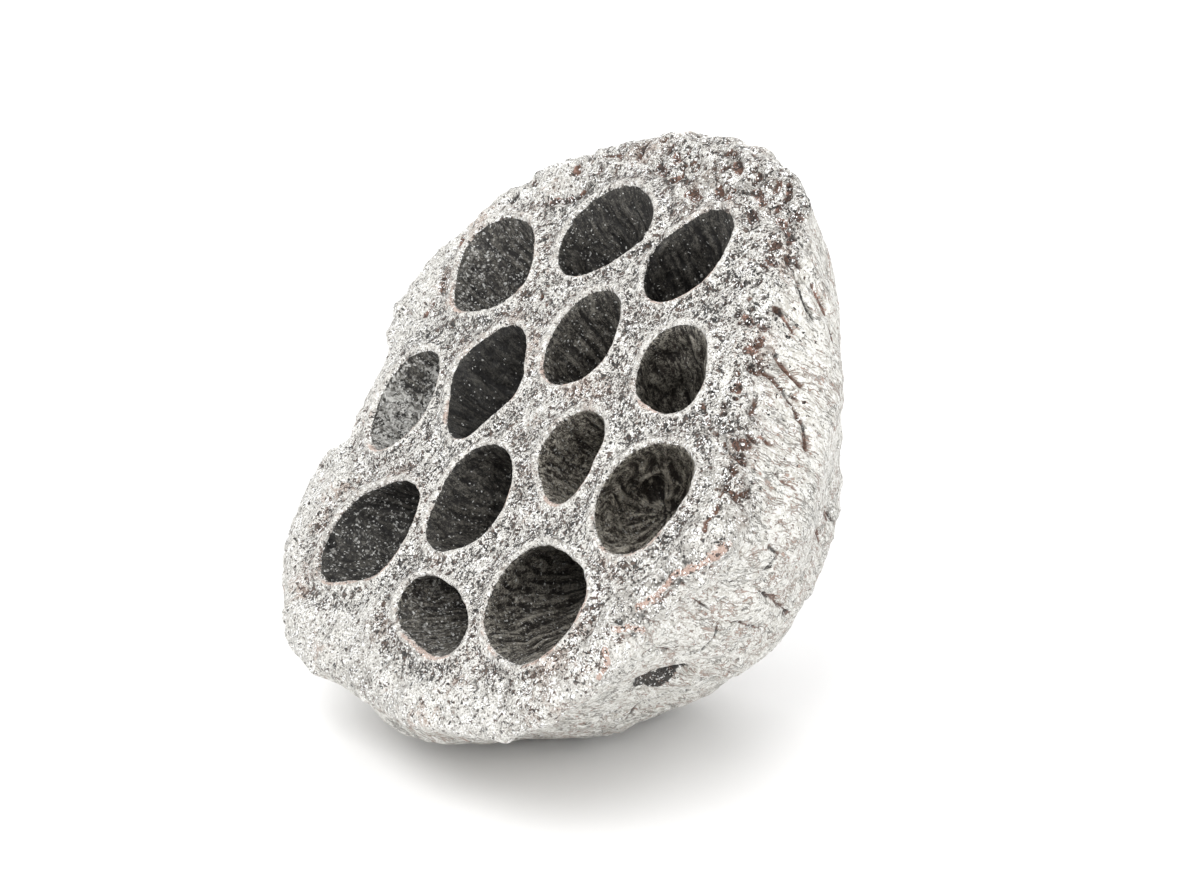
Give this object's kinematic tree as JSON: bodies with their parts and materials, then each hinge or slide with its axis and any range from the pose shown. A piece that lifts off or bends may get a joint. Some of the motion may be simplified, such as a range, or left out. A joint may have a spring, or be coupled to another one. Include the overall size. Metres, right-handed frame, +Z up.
{
  "type": "dried lotus pod",
  "caption": "Dried lotus pod with open seed cells in a rounded face and a bowl-shaped side wall, coated silvery white, lying on its side.",
  "frame": {"origin": "on the resting surface, under the middle of the pod's bounding box", "axes": "+Z up from the resting surface; the seed face looks towards -Y and 41 degrees up; +X to the right of someone looking at the seed face from -Y; the stem end is at the back, towards +Y and down"},
  "size_m": [0.07, 0.0542, 0.0612],
  "materials": {
    "silver_coated_pod": "dried receptacle with a thin silvery white glitter coat, dark brown where the coat is missing and inside the cells"
  },
  "bodies": {
    "root": {"lotus_pod": "silver_coated_pod"}
  },
  "joints": []
}
